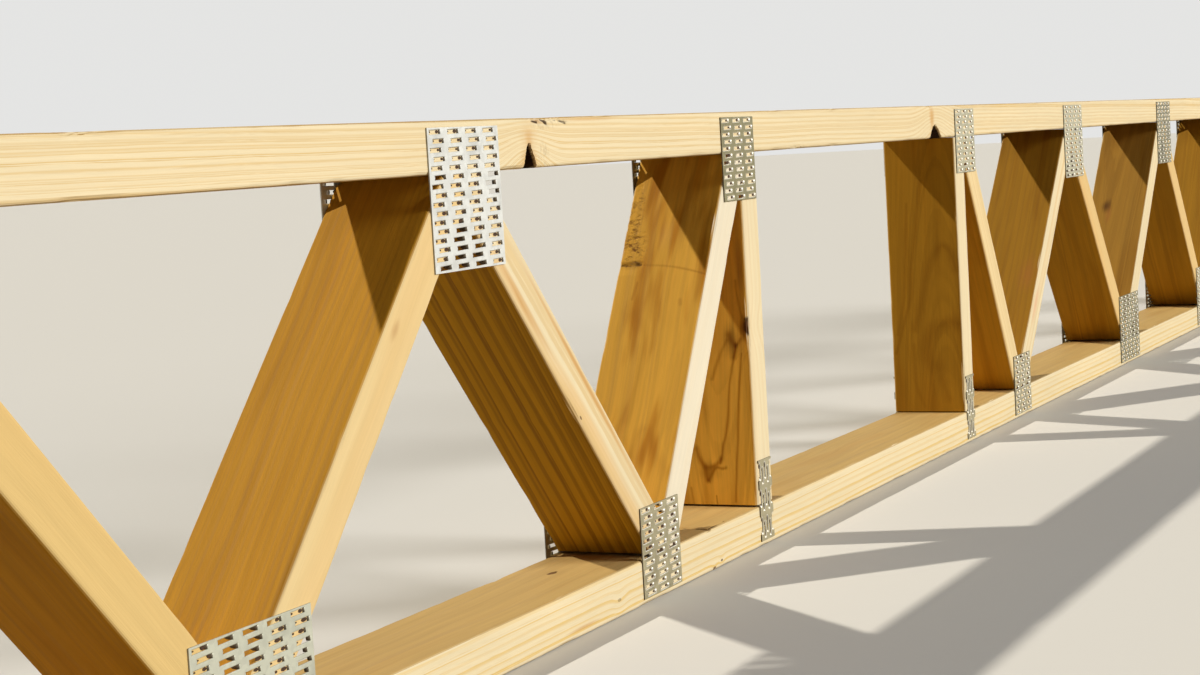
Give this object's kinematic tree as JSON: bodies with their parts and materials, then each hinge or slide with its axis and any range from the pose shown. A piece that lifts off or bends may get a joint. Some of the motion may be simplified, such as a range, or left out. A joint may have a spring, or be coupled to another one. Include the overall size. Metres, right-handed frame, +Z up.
{
  "type": "timber floor truss",
  "caption": "Parallel-chord floor truss of flat-laid sawn timber with diagonal webs, a central duct chase, and punched steel connector plates on both faces of its joints",
  "frame": {"origin": "middle of the duct chase, middle of the timber's width, underside of the bottom chord", "axes": "+X along the truss, +Y from the front face to the rear face, +Z up"},
  "size_m": [4.8768, 0.0908, 0.4064],
  "materials": {
    "timber": "sawn and planed softwood, unfinished",
    "plate": "galvanised, dull zinc"
  },
  "bodies": {
    "root": {"top_chord": "timber", "bottom_chord": "timber", "chase_post_left": "timber", "chase_post_right": "timber", "end_post_left": "timber", "end_post_right": "timber", "web_left_1": "timber", "web_left_2": "timber", "web_left_3": "timber", "web_left_4": "timber", "web_left_5": "timber", "web_left_6": "timber", "web_left_7": "timber", "web_right_1": "timber", "web_right_2": "timber", "web_right_3": "timber", "web_right_4": "timber", "web_right_5": "timber", "web_right_6": "timber", "web_right_7": "timber", "plate_top_left_0_front": "plate", "plate_top_left_0_rear": "plate", "plate_top_left_1_front": "plate", "plate_top_left_1_rear": "plate", "plate_top_left_2_front": "plate", "plate_top_left_2_rear": "plate", "plate_top_left_3_front": "plate", "plate_top_left_3_rear": "plate", "plate_top_left_4_front": "plate", "plate_top_left_4_rear": "plate", "plate_top_right_0_front": "plate", "plate_top_right_0_rear": "plate", "plate_top_right_1_front": "plate", "plate_top_right_1_rear": "plate", "plate_top_right_2_front": "plate", "plate_top_right_2_rear": "plate", "plate_top_right_3_front": "plate", "plate_top_right_3_rear": "plate", "plate_top_right_4_front": "plate", "plate_top_right_4_rear": "plate", "plate_bottom_left_0_front": "plate", "plate_bottom_left_0_rear": "plate", "plate_bottom_left_1_front": "plate", "plate_bottom_left_1_rear": "plate", "plate_bottom_left_2_front": "plate", "plate_bottom_left_2_rear": "plate", "plate_bottom_left_3_front": "plate", "plate_bottom_left_3_rear": "plate", "plate_bottom_left_4_front": "plate", "plate_bottom_left_4_rear": "plate", "plate_bottom_right_0_front": "plate", "plate_bottom_right_0_rear": "plate", "plate_bottom_right_1_front": "plate", "plate_bottom_right_1_rear": "plate", "plate_bottom_right_2_front": "plate", "plate_bottom_right_2_rear": "plate", "plate_bottom_right_3_front": "plate", "plate_bottom_right_3_rear": "plate", "plate_bottom_right_4_front": "plate", "plate_bottom_right_4_rear": "plate"}
  },
  "joints": []
}
